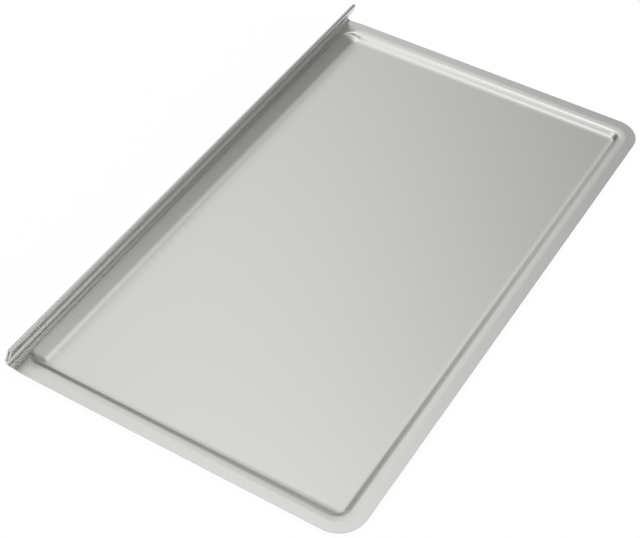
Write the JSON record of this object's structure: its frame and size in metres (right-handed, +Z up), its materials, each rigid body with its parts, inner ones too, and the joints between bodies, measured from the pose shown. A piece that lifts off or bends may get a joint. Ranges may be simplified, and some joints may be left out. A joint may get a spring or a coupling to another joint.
{
  "type": "cookie sheet",
  "caption": "Flat aluminium cookie sheet with a shallow pressed well, a flat rim on the open sides and a folded lip along one long side for gripping.",
  "frame": {"origin": "middle of the bounding box, on the surface that the underside of the well's floor rests on", "axes": "+Z up out of the well, +Y along the lip, +X from the lip towards the open long edge"},
  "size_m": [0.2664, 0.444, 0.0226],
  "materials": {
    "satin_aluminium": "matt satin, silver anodised, the same on both faces"
  },
  "bodies": {
    "root": {"cookie_sheet": "satin_aluminium"}
  },
  "joints": []
}
